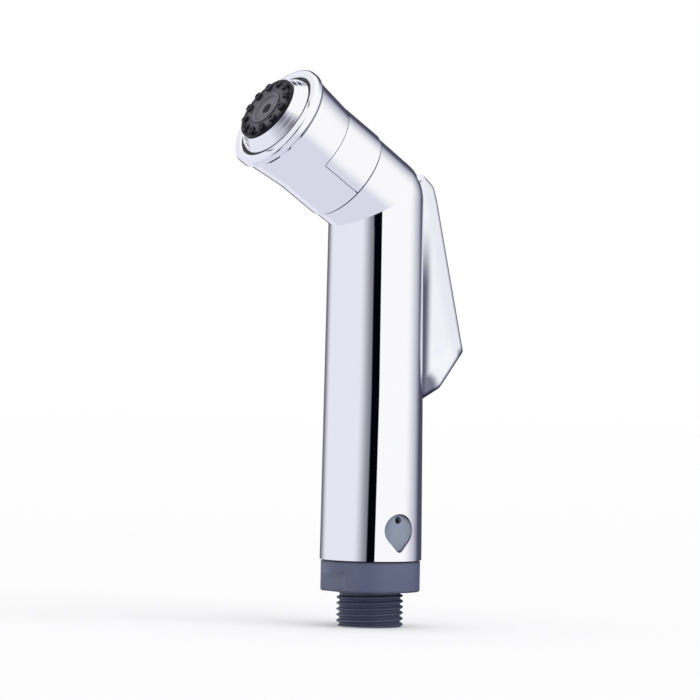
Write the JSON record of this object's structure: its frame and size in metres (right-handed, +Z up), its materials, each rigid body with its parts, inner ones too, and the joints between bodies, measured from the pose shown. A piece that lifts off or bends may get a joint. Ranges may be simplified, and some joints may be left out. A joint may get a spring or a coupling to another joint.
{
  "type": "handheld bidet shower",
  "caption": "Pistol-shaped hand spray with a trigger valve, a tilted turning nozzle head and a threaded hose inlet at the foot of its tapered chrome handle.",
  "frame": {"origin": "centre of the end face of the inlet thread, at the foot of the handle", "axes": "+Z up the handle's axis to the bend; -X is the side that the head points to and +X the trigger's side; +Y completes the right-handed frame"},
  "size_m": [0.0779, 0.0356, 0.1731],
  "materials": {
    "chrome_plate": "polished",
    "blue_grey_plastic": "satin",
    "dark_plastic": "satin",
    "grey_plastic": "satin",
    "white_plastic": "moulded",
    "rubber": "smooth",
    "brass": "turned",
    "steel": "bright"
  },
  "bodies": {
    "handset": {"body_shell": "chrome_plate", "inlet_core": "blue_grey_plastic", "core_oring": "rubber", "valve_body": "white_plastic", "spring_cap": "white_plastic", "valve_spring": "steel", "stem_bonnet": "white_plastic", "stem_oring": "rubber", "outlet_elbow": "white_plastic", "outlet_oring_lower": "rubber", "outlet_oring_upper": "rubber", "head_spigot": "white_plastic", "spigot_oring": "rubber", "pivot_pin": "steel"},
    "trigger": {"trigger_lever": "chrome_plate"},
    "valve": {"valve_stem": "brass", "seat_washer": "rubber", "washer_retainer": "steel"},
    "selector_carriage": {"diverter_plate": "white_plastic", "diverter_seal": "rubber"},
    "selector_head": {"selector_ring": "chrome_plate", "selector_band": "chrome_plate", "nozzle_insert": "dark_plastic", "jet_core": "grey_plastic", "nozzle_bezel": "chrome_plate", "insert_oring": "rubber", "bezel_seal": "rubber"}
  },
  "joints": [
    {"name": "trigger_press", "type": "hinge", "parent": "handset", "child": "trigger", "pos_m": [0.0064, 0, 0.1364], "axis": [0, 1, 0], "range_deg": [0, 5], "stiffness_Nm_per_rad": 0.5, "springref_deg": -5.73},
    {"name": "valve_slide", "type": "slide", "parent": "handset", "child": "valve", "axis": [-1, 0, 0], "range_m": [0, 0.0032], "deforming": ["valve_spring"]},
    {"name": "selector_advance", "type": "slide", "parent": "handset", "child": "selector_carriage", "axis": [-0.8387, 0, 0.5446], "range_m": [0, 0.0016]},
    {"name": "selector_twist", "type": "hinge", "parent": "selector_carriage", "child": "selector_head", "pos_m": [0, 0, 0.1336], "axis": [-0.8387, 0, 0.5446], "range_deg": [0, 90]}
  ],
  "couplings": [
    {"joint": "valve_slide", "follows": "trigger_press", "m_per_rad": 0.0364},
    {"joint": "selector_advance", "follows": "selector_twist", "m_per_rad": 0.0010186}
  ]
}
